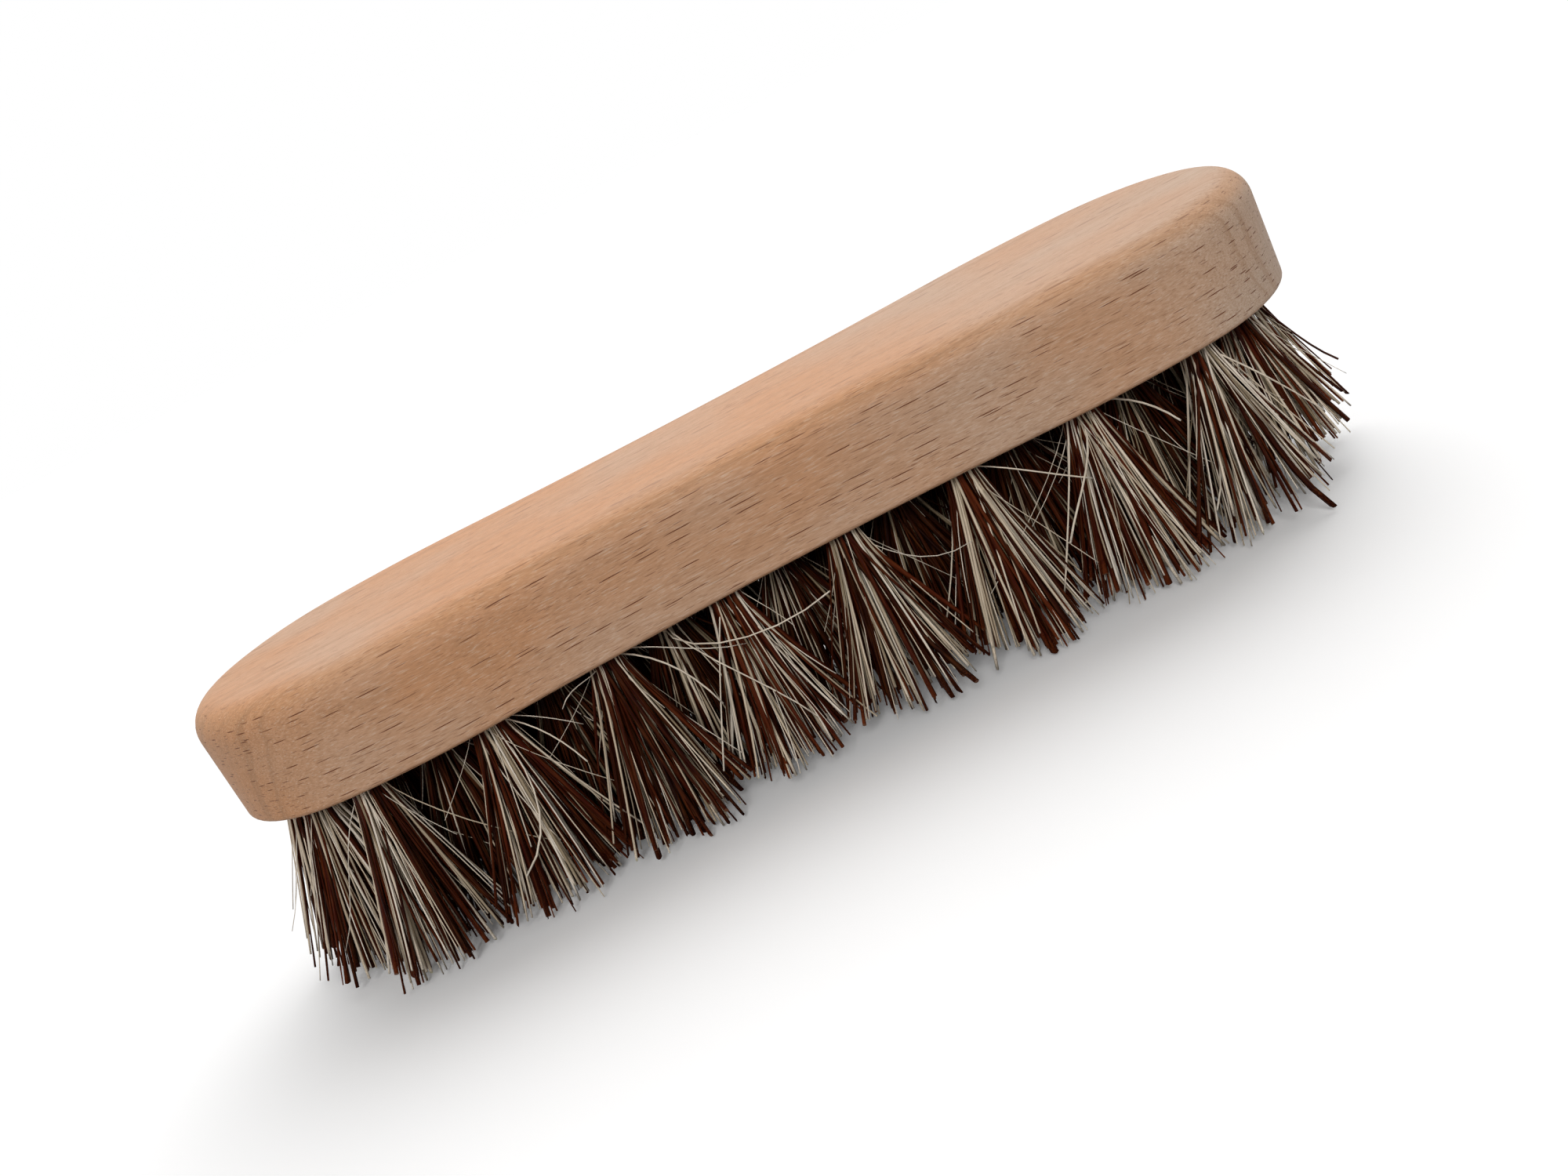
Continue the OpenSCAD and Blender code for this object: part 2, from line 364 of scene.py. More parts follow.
def beech(settings):
    """Beech, planed and sanded, without oil: a dry pinkish tan with short dark ray flecks.

    Its grain runs along the brush. The colours lie over each other, each by its own amount.
    """
    material, tree = blank_material("beech_sanded")
    coordinates = add(tree, "TexCoord")
    here = coordinates.outputs["Object"]
    x, y, z = add(tree, "SeparateXYZ", links={0: here}).outputs
    upward = add(tree, "SeparateXYZ", links={0: coordinates.outputs["Normal"]}).outputs["Z"]
    # 1 on the upper and lower faces and 0 on the sides, and a value that peaks on the round edges
    flat = add(tree, "Math", links={0: upward, 1: upward}, operation="MULTIPLY")
    steep = add(tree, "Math", {0: 1.0}, {1: flat}, operation="SUBTRACT")
    rounded = add(tree, "Math", links={0: flat, 1: steep}, operation="MULTIPLY")

    noise = {}
    for name, (scale, detail, roughness, shift) in WOOD_NOISES.items():
        placed = add(tree, "Mapping", {"Location": shift, "Scale": scale}, {"Vector": here})
        values = {"Scale": 1.0, "Detail": detail, "Roughness": roughness}
        noise[name] = add(tree, "TexNoise", values, {"Vector": placed})
    marks = {name: wood_marks(tree, here, *shape) for name, shape in WOOD_MARKS.items()}
    # Growth rings are noise of one value: y, moved by the wandering and by the lean
    across = y
    for factor, pattern in ((RING_WANDER, noise["wander"]), (RING_LEAN, z)):
        moved = {0: pattern, 2: across}
        across = add(tree, "Math", {1: factor}, moved, operation="MULTIPLY_ADD")
    ring = add(tree, "Math", {1: RINGS_IN_METRE}, {0: across}, operation="MULTIPLY")
    values = {"Scale": 1.0, "Detail": 2.0, "Roughness": 0.55}
    rings = add(tree, "TexNoise", values, {"W": ring}, noise_dimensions="1D")

    # Each amount runs between two values of a pattern, with what it is at the one and the other
    spans = {
        "edge_on": (flat, 0.1, 0.9, 1.0, 0.3),
        "less_on_flat": (flat, 0.1, 0.9, 1.0, 0.6),
        # Painted shade on the upper and lower faces
        "upper": (flat, 0.1, 0.9, 0.0, 0.24),
        "painted_shade_to_right_end": (x, 0.0, 0.085, 0.1, 1.0),
        "heart": (x, 0.085, 0.02, 0.0, 0.6),
        "patch": (noise["patch"], 0.36, 0.62, -0.1, 0.5),
        "corner": (rounded, 0.08, 0.24, 0.0, 0.5),
        "late": (rings, 0.5, 0.68, 0.0, 0.5),
        "broad": (noise["broad"], 0.45, 0.75, 0.0, 0.25),
        "fibre": (noise["fibre"], 0.48, 0.72, 0.0, 0.6),
        # Pale grain streaks, partly real grain and partly a painted glint
        "pale_grain_and_glint": (noise["fibre"], 0.46, 0.28, 0.0, 0.5),
        "pores": (marks["pores"], 0.0, 1.0, 0.0, 0.5),
        "short_rays": (marks["short_rays"], 0.0, 1.0, 0.0, 0.6),
        "long_rays": (marks["long_rays"], 0.0, 1.0, 0.0, 1.0),
    }
    amounts = {}
    for name, (pattern, *numbers) in spans.items():
        ends = dict(zip(SPAN, numbers))
        amounts[name] = add(tree, "MapRange", ends, {"Value": pattern})
    # A ray lies flat in the upper and lower faces, where it shows as a fainter flake. Rings and
    # pale grain streaks are fainter there too. The upper and lower faces get painted shade, late
    # wood laid over them, stronger towards the right end.
    for name, factor in (
        ("long_rays", "edge_on"),
        ("short_rays", "edge_on"),
        ("late", "less_on_flat"),
        ("pale_grain_and_glint", "less_on_flat"),
        # The painted shade grows towards the right end
        ("upper", "painted_shade_to_right_end"),
    ):
        both = {0: amounts[name], 1: amounts[factor]}
        amounts[name] = add(tree, "Math", links=both, operation="MULTIPLY")
    # The board is warmer in patches, and away from its right end
    both = {0: amounts["patch"], 1: amounts["heart"]}
    warmth = add(tree, "Math", links=both, operation="ADD", use_clamp=True)

    values = {6: linear(settings.light_wood), 7: linear(settings.warm_wood)}
    colour = add(tree, "Mix", values, {0: warmth}, data_type="RGBA").outputs[2]
    # Round edges cut across more fibre and look warmer
    for shade, name in (
        (settings.corner_wood, "corner"),
        (settings.late_wood_and_shade, "late"),
        (settings.late_wood_and_shade, "broad"),
        (settings.late_wood_and_shade, "fibre"),
        # Pale grain streaks, partly real grain and partly a painted glint
        (PALE_GRAIN_AND_GLINT, "pale_grain_and_glint"),
        # Painted shade: late wood over the upper and lower faces
        (settings.late_wood_and_shade, "upper"),
        (PORE, "pores"),
        (settings.ray_fleck, "short_rays"),
        (settings.ray_fleck, "long_rays"),
    ):
        under = {0: amounts[name], 6: colour}
        colour = add(tree, "Mix", {7: linear(shade)}, under, data_type="RGBA").outputs[2]
    # Relief: open fibre and the shrunken rays, a few hundredths of a millimetre deep
    relief = {0: noise["fibre"], 1: amounts["long_rays"]}
    height = add(tree, "Math", links=relief, operation="SUBTRACT")
    bump = add(tree, "Bump", {"Strength": 0.45, "Distance": 0.00012}, {"Height": height})
    shader = add(
        tree,
        "BsdfPrincipled",
        {"Roughness": 0.6, "IOR": 1.5, "Specular IOR Level": 0.3},
        {"Base Color": colour, "Normal": bump},
    )
    add(tree, "OutputMaterial", links={"Surface": shader})
    return material


def galvanised_wire():
    """Galvanised steel wire, flattened and cut: dull grey metal with drawn lines 0.3 mm apart."""
    material, tree = blank_material("galvanised_wire")
    here = add(tree, "TexCoord").outputs["Object"]
    drawn = add(tree, "Mapping", {"Scale": (3000.0, 120.0, 3000.0)}, {"Vector": here})
    lines = add(tree, "TexNoise", {"Scale": 1.0, "Detail": 2.0}, {"Vector": drawn})
    shades = {6: linear("#8E9092"), 7: linear("#B4B6B8")}
    tone = add(tree, "Mix", shades, {0: lines}, data_type="RGBA").outputs[2]
    bump = add(tree, "Bump", {"Strength": 0.2, "Distance": 0.00003}, {"Height": lines})
    shader = add(
        tree,
        "BsdfPrincipled",
        {"Metallic": 1.0, "Roughness": 0.45},
        {"Base Color": tone, "Normal": bump},
    )
    add(tree, "OutputMaterial", links={"Surface": shader})
    return material


def plant_fibre(name, shades, roughness, streak, gloss):
    """A dried plant fibre: its own shade, from its strand's tone, with streaks along its length.

    A tone from 0 to 1 runs through the first three shades. The streaks take the fourth.
    """
    material, tree = blank_material(name)
    tone = add(tree, "Attribute", attribute_name="tone").outputs["Fac"]
    # The strand's map: the share of the way round it, and metres along it
    way = add(tree, "SeparateXYZ", links={0: add(tree, "UVMap", uv_map="strand")})
    shift = add(tree, "Math", {1: STREAK_SHIFT}, {0: tone}, operation="MULTIPLY")
    where = {"X": way.outputs["X"], "Y": way.outputs["Y"], "Z": shift}
    where = add(tree, "CombineXYZ", links=where)
    # Streaks a ninth of the way round and 6 mm long
    stretched = add(tree, "Mapping", {"Scale": (9.0, 170.0, 1.0)}, {"Vector": where})
    values = {"Scale": 1.0, "Detail": 4.0, "Roughness": 0.65}
    streaks = add(tree, "TexNoise", values, {"Vector": stretched})
    lower, upper, streaked = (
        add(tree, "MapRange", dict(zip(SPAN, numbers)), {"Value": pattern})
        for pattern, *numbers in (
            (tone, 0.0, 0.5, 0.0, 1.0),
            (tone, 0.5, 1.0, 0.0, 1.0),
            (streaks, 0.44, 0.62, 0.0, streak),
        )
    )
    values = {6: linear(shades[0]), 7: linear(shades[1])}
    colour = add(tree, "Mix", values, {0: lower}, data_type="RGBA").outputs[2]
    for shade, amount in ((shades[2], upper), (shades[3], streaked)):
        under = {0: amount, 6: colour}
        colour = add(tree, "Mix", {7: linear(shade)}, under, data_type="RGBA").outputs[2]
    bump = add(tree, "Bump", {"Strength": 0.7, "Distance": 0.0001}, {"Height": streaks})
    shader = add(
        tree,
        "BsdfPrincipled",
        {"Roughness": roughness, "IOR": 1.5, "Specular IOR Level": gloss},
        {"Base Color": colour, "Normal": bump},
    )
    add(tree, "OutputMaterial", links={"Surface": shader})
    return material


def white_paper(settings):
    """White studio paper, matt: white to the camera with its shadows, darker to the object."""
    material, tree = blank_material("white_paper")
    seen = seen_directly(tree)
    ends = dict(zip(SPAN, (0.0, 1.0, settings.floor_bounce, 1.0)))
    shade = add(tree, "MapRange", ends, {"Value": seen})
    matt = add(tree, "BsdfDiffuse", links={"Color": shade})
    amount = add(tree, "Math", {1: settings.floor_lift}, {0: seen}, operation="MULTIPLY")
    lift = add(tree, "Emission", {"Color": WHITE}, {"Strength": amount})
    both = add(tree, "AddShader", links={0: matt, 1: lift})
    add(tree, "OutputMaterial", links={"Surface": both})
    return material


def white_surroundings(settings):
    """White to the camera and in reflections, and a lower soft light on everything else."""
    world = bpy.data.worlds.new("soft_surroundings")
    world.use_nodes = True
    tree = world.node_tree
    tree.nodes.clear()
    seen = seen_directly(tree)
    ends = dict(zip(SPAN, (0.0, 1.0, settings.sky, 1.0)))
    amount = add(tree, "MapRange", ends, {"Value": seen})
    light = add(tree, "Background", {"Color": WHITE}, {"Strength": amount})
    add(tree, "OutputWorld", links={"Surface": light})
    return world


# Fibre surfaces


def hole_rows():
    """Gives every tuft's row, number and mouth from the hole pattern.

    A row of n holes is n places one pitch apart about the middle. The middle row's last hole at
    each end is drawn in to its own distance.
    """
    for row, across, count in ROWS:
        along = (np.arange(count) - (count - 1) / 2) * PITCH
        along = np.clip(along, -LAST_HOLE, LAST_HOLE)
        for number, x in enumerate(along, start=1):
            yield row, number, float(x), across


def strand_skins(centres, radii, turns, ridges, slant):
    """Carries a ridged polygon along each strand's path.

    Point (strand, ring, side) = centre + radius x ridge x (cos a, sin a) in the plane square to
    the path, where a goes once round the sides and turns slowly along the strand. The last ring
    is pushed along the path by slant x cos a, which gives the oblique cut.
    """
    count, rings, _ = centres.shape
    sides = ridges.shape[1]
    ahead = np.gradient(centres, axis=1)
    ahead /= np.linalg.norm(ahead, axis=2, keepdims=True)
    across = np.array([0.0, 1.0, 0.0])
    first = across - (ahead @ across)[..., None] * ahead
    first /= np.linalg.norm(first, axis=2, keepdims=True)
    second = np.cross(ahead, first)
    angle = (
        2 * np.pi * np.arange(sides)[None, None, :] / sides
        + turns[:, None, None] * np.linspace(*TWIST, rings)[None, :, None]
    )
    reach = radii[:, :, None] * ridges[:, None, :]
    points = (
        centres[:, :, None, :]
        + (reach * np.cos(angle))[..., None] * first[:, :, None, :]
        + (reach * np.sin(angle))[..., None] * second[:, :, None, :]
    )
    pushed = slant[:, None] * reach[:, -1] * np.cos(angle[:, -1])
    points[:, -1] += pushed[..., None] * ahead[:, -1, None, :]
    index = np.arange(count * rings * sides).reshape(count, rings, sides)
    beside = np.roll(index, -1, axis=2)
    quads = np.stack(
        [index[:, :-1], beside[:, :-1], beside[:, 1:], index[:, 1:]], axis=-1
    ).reshape(-1, 4)
    caps = np.concatenate([index[:, 0, ::-1], index[:, -1]])
    return points.reshape(-1, 3), quads, caps


def through(points, shares):
    """Smooth path through a few points: each coordinate is a cubic, or less, of the way along."""
    points = np.array(points, float)
    steps = np.linalg.norm(np.diff(points, axis=0), axis=1)
    way = np.concatenate([[0], steps.cumsum()]) / steps.sum()
    fit = np.polyfit(way, points, min(3, len(points) - 1))
    powers = shares[:, None] ** np.arange(len(fit) - 1, -1, -1)
    return powers @ fit


def is_inner(x, y):
    """Says if a tuft stands behind the edge rows, away from the brush's ends."""
    return abs(y) < EDGE_ROW and abs(x) < INNER_REACH


def strand_numbers(settings, x, y, rng):
    """Gives a tuft's numbers of pale and dark strands.

    Behind the edge rows fewer pale and more dark strands stand as painted shade. More pale
    fibre shows at the right end.
    """
    pale = settings.pale_strands + int(rng.integers(-PALE_VARIES, PALE_VARIES + 1))
    dark = settings.dark_strands + int(rng.integers(-DARK_VARIES, DARK_VARIES + 1))
    # Painted shade: fewer pale and more dark strands behind the edge rows
    if is_inner(x, y):
        return pale - settings.pale_strands // 2, dark + settings.dark_strands // 3
    if x > PALE_END:
        return pale + settings.pale_strands // 3, dark - settings.dark_strands * 2 // 5
    return pale, dark


def strand_kinds(dark, hair, u, v, rng):
    """Sorts a tuft's strands into pale, dark and hair-thin ones.

    The dark ones have the lowest values of a wave over the hole's disc plus noise,
    sin(CLUMP_TURN x place along a random way), so they lie in clumps. The hair-thin ones are
    drawn from the rest.
    """
    way = rng.uniform(0, FULL_TURN)
    wave = np.sin(CLUMP_TURN * (u * np.cos(way) + v * np.sin(way)) + rng.uniform(0, FULL_TURN))
    rank = np.argsort(wave + rng.normal(0, CLUMP_NOISE, len(u)))
    kind = np.full(len(u), PALE)
    kind[rank[:dark]] = DARK
    kind[rng.permutation(rank[dark:])[:hair]] = HAIR
    return kind


def strand_slopes(settings, x, y, u, v, kind, rng):
    """Gives the strands' slopes away from their hole's axis, along and across, and the wild ones.

    slope = fan x place in the hole's disc, drawn towards the place of the strand's lock, + noise
    """
    count = len(u)
    locks = rng.uniform(-LOCK_REACH, LOCK_REACH, (2, LOCKS))
    lock = np.hypot(u - locks[0][:, None], v - locks[1][:, None]).argmin(axis=0)
    pull = EDGE_PULL if abs(y) == EDGE_ROW else INNER_PULL
    held_u = u + pull * (locks[0][lock] - u)
    held_v = v + pull * (locks[1][lock] - v)
    fan = rng.uniform(*LOCK_FANS, LOCKS)[lock]
    along = settings.fan_along * fan * held_u + rng.normal(0, SLOPE_NOISE[0], count)
    along += rng.normal(0, TUFT_NOISE) + np.where(
        rng.random(count) < ASTRAY_SHARE, rng.normal(0, ASTRAY_NOISE, count), 0
    )
    across = settings.fan_across * held_v + rng.normal(0, SLOPE_NOISE[1], count)
    # The rows behind the near one spread a little more close to the block
    fringe = (np.hypot(u, v) > FRINGE_FROM) & (rng.random(count) < FRINGE_SHARE) & (y > -EDGE_ROW)
    along += np.where(fringe, FRINGE_SLOPE * np.sign(u), 0)
    wild = (rng.random(count) < settings.wild_share) | (kind == HAIR)
    along += np.where(wild, rng.normal(0, WILD_NOISE[0], count), 0)
    across += np.where(wild, rng.normal(0, WILD_NOISE[1], count), 0)
    along += np.where(kind == HAIR, rng.normal(0, HAIR_NOISE, count), 0)
    # The last tufts don't lean out further than the block's ends let them
    outward = np.where(along * np.sign(x) > 0, END_LOSS * along, 0)
    along -= outward * (abs(x) / LAST_HOLE) ** END_POWER
    return along, np.clip(across, -STEEPEST_ACROSS, STEEPEST_ACROSS), wild


def strand_lengths(settings, x, u, kind, along, rng):
    """Gives the strands' lengths below the block.

    Some are cut short and a few stand out. The outer strands of a tuft are worn shorter, and so
    are those in the middle of the brush, by what WORN says where their tips are.
    """
    count = len(u)
    length = settings.fibre_length / MM + rng.normal(0, LENGTH_NOISE, count)
    length -= np.where(rng.random(count) < SHORT_SHARE, rng.uniform(*SHORT_BY, count), 0)
    length += np.where(rng.random(count) < LONG_SHARE, rng.uniform(*LONG_BY, count), 0)
    length -= OUTER_WEAR * np.abs(u) ** 3 + np.interp(x + TIP_SHIFT * along, *WORN)
    return np.where(kind == HAIR, rng.uniform(*HAIR_LENGTHS, count), length)


def tuft_strands(settings, x, y, rng):
    """Works out the paths, radii, kinds and tones of one tuft's strands.

    At a depth t below the mouth, a strand at (u, v) of the hole's disc is at
    mouth + disc place + lean t + slope t^2 / (t + TURN_DEPTH) + bend (t / deepest)^2,
    and inside the hole it runs straight along the hole's axis.
    """
    pale, dark = strand_numbers(settings, x, y, rng)
    count = pale + dark + settings.fine_strands
    spot = np.arange(count) + 0.5
    turn = spot * GOLDEN_TURN + rng.uniform(0, FULL_TURN)
    u = np.sqrt(spot / count) * np.cos(turn) + rng.normal(0, SPOT_NOISE, count)
    v = np.sqrt(spot / count) * np.sin(turn) + rng.normal(0, SPOT_NOISE, count)
    kind = strand_kinds(dark, settings.fine_strands, u, v, rng)
    thin = np.array([settings.pale_thin / MM, settings.dark_thin / MM, HAIR_WIDTHS[0]])[kind]
    thick = np.array([settings.pale_thick / MM, settings.dark_thick / MM, HAIR_WIDTHS[1]])[kind]
    half = (thin + (thick - thin) * rng.random(count) ** THIN_BIAS) / 2
    along, across, wild = strand_slopes(settings, x, y, u, v, kind, rng)
    bend_x, bend_y = (
        rng.normal(0, usual, count) + np.where(wild, rng.normal(0, more, count), 0)
        for usual, more in zip(BEND, WILD_BEND)
    )
    length = strand_lengths(settings, x, u, kind, along, rng)
    lean_x = END_LEAN * (abs(x) / LAST_HOLE) ** LEAN_POWER * np.sign(x)
    lean_y = SIDE_LEAN * y / EDGE_ROW
    deepest = length / np.sqrt(1 + (lean_x + along) ** 2 + (lean_y + across) ** 2)
    deepest = np.minimum(deepest, MOUTH_Z - half - rng.uniform(*FLOOR_GAP, count))
    share = np.array(RINGS)
    t = np.where(share < 0, share * ROOT_DEPTH, share * deepest[:, None])
    out = np.maximum(t, 0)
    spread = out**2 / (out + TURN_DEPTH)
    curl = (out / deepest[:, None]) ** 2
    # The strands leave room for the wire that holds them down
    disc = HOLE_RADIUS - WALL_GAP - half
    clear = WIRE_HALF + half
    place_x, place_y = u * disc, v * disc
    beside = np.where(place_x < 0, -clear, clear)
    place_x = np.where(np.abs(place_x) < clear, beside, place_x)
    centre = np.empty((count, len(share), 3))
    centre[..., 0] = (
        x + place_x[:, None] + lean_x * t + along[:, None] * spread + bend_x[:, None] * curl
    )
    centre[..., 1] = (
        y + place_y[:, None] + lean_y * t + across[:, None] * spread + bend_y[:, None] * curl
    )
    centre[..., 2] = MOUTH_Z - t
    # A strand that would reach past the outline leans out less
    for axis, mouth, limit in ((0, x + place_x, LONGEST), (1, y + place_y, WIDEST)):
        furthest = np.abs(centre[..., axis]).max(axis=1) + half
        over = np.clip((furthest - limit) / np.maximum(furthest - np.abs(mouth), 1.0), 0, 1)
        centre[..., axis] -= over[:, None] * (centre[..., axis] - mouth[:, None])
    swell = 1 + rng.normal(0, SWELL, (count, len(share)))
    radii = half[:, None] * swell * np.linspace(*TAPER, len(share))
    # Tufts behind the edge rows get a darker tone: painted shade under the block
    usual = INNER_SHADE_TONE if is_inner(x, y) else OUTER_TONE
    tone = rng.normal(usual, TONE_NOISE, count) + rng.normal(0, TUFT_TONE_NOISE)
    tone = np.clip(tone, *TONE_ENDS)
    tone = np.where(kind == DARK, DARK_TONE * tone, tone)
    tone = np.where(kind == HAIR, rng.uniform(*HAIR_TONES, count), tone)
    return centre, radii, kind, tone


def with_strays(name, x, y, centre, radii, kind, tone):
    """Adds a tuft's own stray strands, which start in its hole and pass their points."""
    rings = centre.shape[1]
    for tuft, sort, width, points in STRAYS:
        if tuft == name:
            start = (x, y, MOUTH_Z - STRAY_START)
            path = through([start, *points], np.linspace(0, 1, rings - 1))
            centre = np.concatenate([centre, np.vstack([centre[0, :1], path])[None]])
            radii = np.concatenate([radii, np.full((1, rings), width / 2)])
            kind = np.append(kind, sort)
            tone = np.append(tone, STRAY_TONES[sort])
    return centre, radii, kind, tone


def strand_ridges(kind, rng):
    """Shapes each strand's section: 1 + noise at each corner, times 1 + flatness x cos 2a."""
    count = len(kind)
    rough = np.where(kind == DARK, 1.0, PALE_RIDGE)[:, None]
    ridges = 1 + rng.uniform(-RIDGE, RIDGE, (count, SIDES)) * rough
    flat = np.where(kind == DARK, rng.uniform(*DARK_FLAT, count), rng.uniform(*PALE_FLAT, count))
    return ridges * (1 + flat[:, None] * np.cos(4 * np.pi * np.arange(SIDES) / SIDES))


def strand_map(centre):
    """Maps each face corner to the share of the way round its strand, and metres along it."""
    count, rings, _ = centre.shape
    run = np.linalg.norm(np.diff(centre, axis=1), axis=2).cumsum(axis=1) * MM
    run = np.concatenate([np.zeros((count, 1)), run], axis=1)
    lap = np.arange(SIDES + 1) / SIDES
    u = np.stack([lap[:-1], lap[1:], lap[1:], lap[:-1]], axis=-1)
    u = np.broadcast_to(u, (count, rings - 1, SIDES, 4))
    w = np.stack([run[:, :-1], run[:, :-1], run[:, 1:], run[:, 1:]], axis=-1)
    w = np.broadcast_to(w[:, :, None, :], (count, rings - 1, SIDES, 4))
    ends = np.zeros((2, count, SIDES, 2))
    ends[..., 0] = np.arange(SIDES) / SIDES
    ends[1, ..., 1] = run[:, -1, None]
    return np.concatenate([np.stack([u, w], axis=-1).reshape(-1, 2), ends.reshape(-1, 2)])


def tuft_mesh(name, centre, radii, kind, tone, finishes, rng):
    """Makes one tuft's mesh: its skins, which finish each face has, its tones and its map."""
    count, rings, _ = centre.shape
    ridges = strand_ridges(kind, rng)
    turns = rng.uniform(0, FULL_TURN, count)
    slant = np.clip(rng.normal(0, SLANT, count), -STEEPEST_SLANT, STEEPEST_SLANT)
    points, quads, caps = strand_skins(centre * MM, radii * MM, turns, ridges, slant)
    mesh = skin(points, quads, caps, name)
    for finish in finishes:
        mesh.materials.append(finish)
    # The finishes are those of the pale and the dark side, then of the pale and the dark cut
    dark = (kind == DARK).astype(np.int32)
    finish = np.concatenate([np.repeat(dark, (rings - 1) * SIDES), np.tile(dark + 2, 2)])
    mesh.polygons.foreach_set("material_index", finish)
    smooth = np.concatenate([np.ones(len(quads), bool), np.zeros(len(caps), bool)])
    mesh.polygons.foreach_set("use_smooth", smooth)
    shade = np.repeat(tone[:, None], rings, axis=1)
    shade[:, -1] = np.minimum(shade[:, -1] + TIP_FADE, 1.0)
    tones = mesh.attributes.new("tone", "FLOAT", "POINT").data
    tones.foreach_set("value", np.repeat(shade, SIDES).astype(np.float32))
    corners = strand_map(centre).astype(np.float32).reshape(-1)
    mesh.uv_layers.new(name="strand").data.foreach_set("uv", corners)
    return mesh


class FibreSettings(bpy.types.PropertyGroup):
    """Sizes, numbers and shades of the fibre."""

    pale_strands: bpy.props.IntProperty(
        name="Pale strands", description="Pale strands in a tuft", default=64, min=16, max=200
    )
    dark_strands: bpy.props.IntProperty(
        name="Dark strands", description="Dark strands in a tuft", default=68, min=10, max=120
    )
    fine_strands: bpy.props.IntProperty(
        name="Fine strands",
        description="Hair-thin loose strands in a tuft",
        default=10,
        min=0,
        max=30,
    )
    pale_thin: bpy.props.FloatProperty(
        name="Thinnest pale",
        description="Width of the thinnest pale strand",
        default=0.0002,
        min=0.0001,
        precision=5,
        subtype="DISTANCE",
        unit="LENGTH",
    )
    pale_thick: bpy.props.FloatProperty(
        name="Thickest pale",
        description="Width of the thickest pale strand",
        default=0.00058,
        min=0.0001,
        precision=5,
        subtype="DISTANCE",
        unit="LENGTH",
    )
    dark_thin: bpy.props.FloatProperty(
        name="Thinnest dark",
        description="Width of the thinnest dark strand",
        default=0.00028,
        min=0.0001,
        precision=5,
        subtype="DISTANCE",
        unit="LENGTH",
    )
    dark_thick: bpy.props.FloatProperty(
        name="Thickest dark",
        description="Width of the thickest dark strand",
        default=0.00096,
        min=0.0001,
        precision=5,
        subtype="DISTANCE",
        unit="LENGTH",
    )
    fibre_length: bpy.props.FloatProperty(
        name="Length",
        description="Length of a strand below the block",
        default=0.0344,
        min=0.005,
        precision=4,
        subtype="DISTANCE",
        unit="LENGTH",
    )
    fan_along: bpy.props.FloatProperty(
        name="Fan along",
        description="Slope of a tuft's outer strands along the block",
        default=0.34,
    )
    fan_across: bpy.props.FloatProperty(
        name="Fan across",
        description="Slope of a tuft's outer strands across the block",
        default=0.16,
    )
    wild_share: bpy.props.FloatProperty(
        name="Stray share",
        description="Share of strands that stand apart",
        default=0.07,
        subtype="FACTOR",
    )
    seed: bpy.props.IntProperty(name="Seed", description="Start of the random draws", default=11)
    pale_low: bpy.props.StringProperty(
        name="Pale, darkest", description="Darkest pale fibre, sRGB hex", default="#8C7A5F"
    )
    pale_middle: bpy.props.StringProperty(
        name="Pale, middle", description="Middle shade of pale fibre, sRGB hex", default="#E9D6BB"
    )
    pale_high: bpy.props.StringProperty(
        name="Pale, lightest", description="Lightest pale fibre, sRGB hex", default="#FFF3E2"
    )
    pale_streak: bpy.props.StringProperty(
        name="Pale, streaks", description="Streaks of pale fibre, sRGB hex", default="#826A48"
    )
    dark_low: bpy.props.StringProperty(
        name="Dark, darkest", description="Darkest dark fibre, sRGB hex", default="#120100"
    )
    dark_middle: bpy.props.StringProperty(
        name="Dark, middle", description="Middle shade of dark fibre, sRGB hex", default="#370A03"
    )
    dark_high: bpy.props.StringProperty(
        name="Dark, lightest", description="Lightest dark fibre, sRGB hex", default="#7A381A"
    )
    dark_streak: bpy.props.StringProperty(
        name="Dark, streaks", description="Streaks of dark fibre, sRGB hex", default="#9A5628"
    )


class WoodSettings(bpy.types.PropertyGroup):
    """Shades of the beech."""

    light_wood: bpy.props.StringProperty(
        name="Light wood", description="Early wood, sRGB hex", default="#CBB09A"
    )
    warm_wood: bpy.props.StringProperty(
        name="Warm wood", description="Warmer patches, sRGB hex", default="#D1996F"
    )
    corner_wood: bpy.props.StringProperty(
        name="Corner wood", description="Rounded corners, sRGB hex", default="#D09A6E"
    )
    # Also the colour of the painted shade on the upper and lower faces
    late_wood_and_shade: bpy.props.StringProperty(
        name="Late wood", description="Darker late wood, sRGB hex", default="#A67C5A"
    )
    ray_fleck: bpy.props.StringProperty(
        name="Ray fleck", description="Ray flecks, sRGB hex", default="#6A391B"
    )


class StageSettings(bpy.types.PropertyGroup):
    """Floor, lamps and surroundings."""

    sky: bpy.props.FloatProperty(
        name="Surroundings", description="Light from all around", default=0.22, min=0.0
    )
    key: bpy.props.FloatProperty(
        name="Key lamp", description="Strength of the key lamp", default=1.95, min=0.0
    )
    front: bpy.props.FloatProperty(
        name="Front lamp", description="Strength of the front lamp", default=1.5, min=0.0
    )
    floor_lift: bpy.props.FloatProperty(
        name="Floor lift",
        description="Light added to the floor that the camera sees",
        default=0.06,
        min=0.0,
    )
    floor_bounce: bpy.props.FloatProperty(
        name="Floor bounce",
        description="Share of light that the floor gives back to the brush",
        default=0.2,
        min=0.0,
    )


class SCRUB_OT_block(bpy.types.Operator):
    """Gives the wooden block its bare beech."""

    bl_idname = "scrub.block"
    bl_label = "Beech block"

    def execute(self, context):
        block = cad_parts["block"]
        block.data.materials.clear()
        block.data.materials.append(beech(context.scene.scrub_wood))
        return {"FINISHED"}


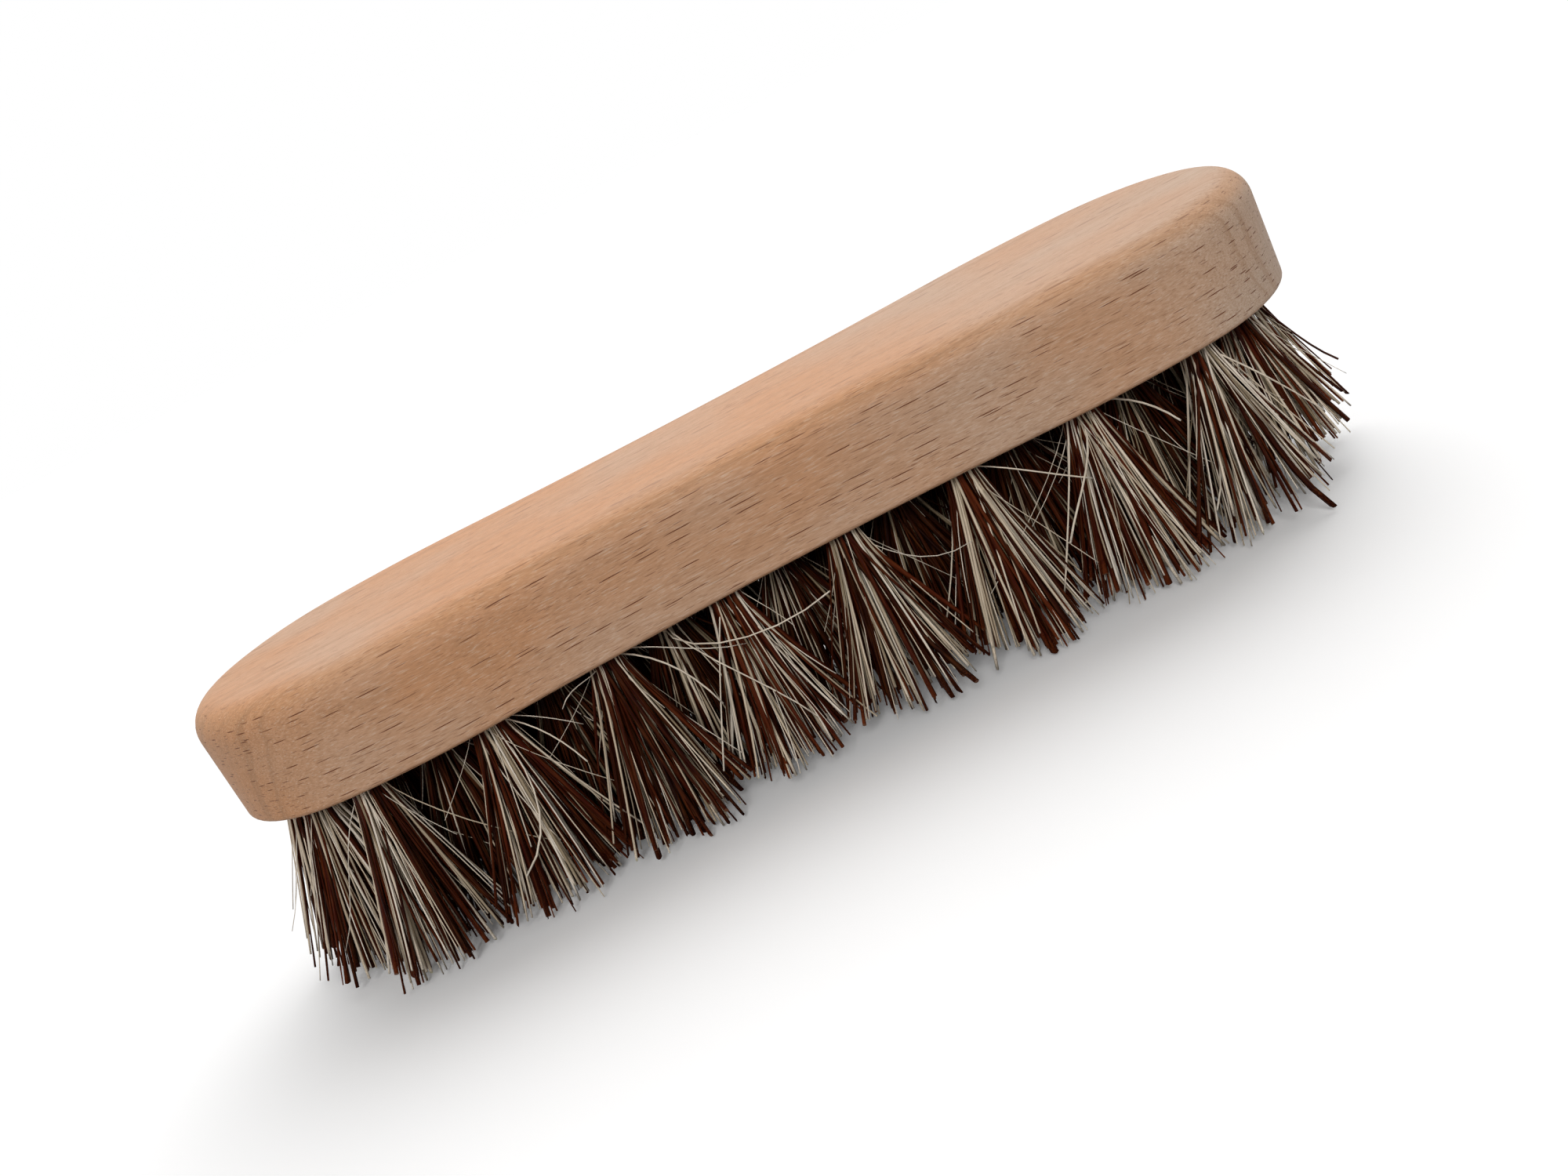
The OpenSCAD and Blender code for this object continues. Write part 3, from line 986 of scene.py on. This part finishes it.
class SCRUB_OT_anchors(bpy.types.Operator):
    """Gives the five rows of wire anchors their galvanised steel."""

    bl_idname = "scrub.anchors"
    bl_label = "Wire anchors"

    def execute(self, context):
        wire = galvanised_wire()
        for row, _, _ in ROWS:
            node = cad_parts["anchors_" + row]
            node.data.materials.clear()
            node.data.materials.append(wire)
        return {"FINISHED"}


class SCRUB_OT_tufts(bpy.types.Operator):
    """Builds the 44 tufts of mixed fibre, each in place of its plain one."""

    bl_idname = "scrub.tufts"
    bl_label = "Fibre tufts"

    def execute(self, context):
        settings = context.scene.scrub_fibre
        pale, dark = (
            [getattr(settings, f"{fibre}_{shade}") for shade in SHADES]
            for fibre in ("pale", "dark")
        )
        # Each finish's name, shades, roughness, strength of its streaks and specular level
        finishes = [
            # Tampico, a leaf fibre that is combed and cut: cream to straw, satin, lightly streaked
            plant_fibre("tampico_fibre", pale, 0.42, 0.42, 0.4),
            # Bassine, a stripped palm fibre: nearly black to red-brown, with hardly any gloss
            plant_fibre("bassine_fibre", dark, 0.5, 0.2, 0.05),
            plant_fibre("tampico_cut", PALE_CUT, 0.7, 0.3, 0.3),
            plant_fibre("bassine_cut", DARK_CUT, 0.7, 0.4, 0.3),
        ]
        for order, (row, number, x, y) in enumerate(hole_rows()):
            rng = np.random.default_rng(settings.seed * 1000 + order)
            name = f"{row}_{number}"
            strands = with_strays(name, x, y, *tuft_strands(settings, x, y, rng))
            piece = place(tuft_mesh("fibres_" + name, *strands, finishes, rng))
            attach(piece, BODY)
            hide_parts("tuft_" + name)
        return {"FINISHED"}


class SCRUB_OT_stage(bpy.types.Operator):
    """Sets the camera, the floor, the soft lamps and the white surroundings."""

    bl_idname = "scrub.stage"
    bl_label = "Stage"

    def execute(self, context):
        settings = context.scene.scrub_stage
        scene = context.scene
        scene.view_settings.view_transform = "Standard"
        lens = bpy.data.cameras.new("camera")
        lens.lens = CAMERA_LENS
        lens.sensor_width = 36.0
        lens.clip_start = 0.01
        lens.clip_end = 50.0
        camera = bpy.data.objects.new("camera", lens)
        camera.matrix_world = Matrix([*CAMERA_ROWS, (0.0, 0.0, 0.0, 1.0)])
        scene.collection.objects.link(camera)
        scene.camera = camera
        corners = FLOOR_HALF * np.array([(-1, -1, 0), (1, -1, 0), (1, 1, 0), (-1, 1, 0)])
        floor = place(skin(corners, np.array([[0, 1, 2, 3]]), name="floor"))
        floor.data.materials.append(white_paper(settings))
        # Each lamp's name, strength, apparent size in degrees, and the way in which it shines
        for name, strength, softness, way in (
            ("key_lamp", settings.key, 52.0, (-0.18, -0.5, -0.85)),
            ("front_lamp", settings.front, 22.0, (0.1, 0.86, -0.5)),
        ):
            lamp = bpy.data.lights.new(name, "SUN")
            lamp.energy = strength
            lamp.angle = math.radians(softness)
            holder = bpy.data.objects.new(name, lamp)
            holder.rotation_euler = Vector(way).to_track_quat("-Z", "Y").to_euler()
            scene.collection.objects.link(holder)
        scene.world = white_surroundings(settings)
        return {"FINISHED"}


class SCRUB_PT_panel(bpy.types.Panel):
    """Lists the brush's pieces in the sidebar."""

    bl_idname = "SCRUB_PT_panel"
    bl_label = "Scrub brush"
    bl_space_type = "VIEW_3D"
    bl_region_type = "UI"
    bl_category = "Scrub brush"

    def draw(self, context):
        for piece in PIECES:
            self.layout.operator(piece.bl_idname)
        for group in GROUPS:
            settings = getattr(context.scene, group)
            for name in settings.__annotations__:
                self.layout.prop(settings, name)


PIECES = (SCRUB_OT_stage, SCRUB_OT_block, SCRUB_OT_anchors, SCRUB_OT_tufts)
GROUPS = {"scrub_fibre": FibreSettings, "scrub_wood": WoodSettings, "scrub_stage": StageSettings}
CLASSES = tuple(GROUPS.values()) + PIECES + (SCRUB_PT_panel,)


def register():
    """Registers the classes and hangs the settings on the scene."""
    for one in CLASSES:
        bpy.utils.register_class(one)
    for name, group in GROUPS.items():
        setattr(bpy.types.Scene, name, bpy.props.PointerProperty(type=group))


def unregister():
    """Takes the settings and the classes away again."""
    for name in GROUPS:
        delattr(bpy.types.Scene, name)
    for one in reversed(CLASSES):
        bpy.utils.unregister_class(one)


def main():
    """Builds the brush and its stage."""
    register()
    bpy.ops.scrub.stage()
    bpy.ops.scrub.block()
    bpy.ops.scrub.anchors()
    bpy.ops.scrub.tufts()


if __name__ == "__main__":
    main()
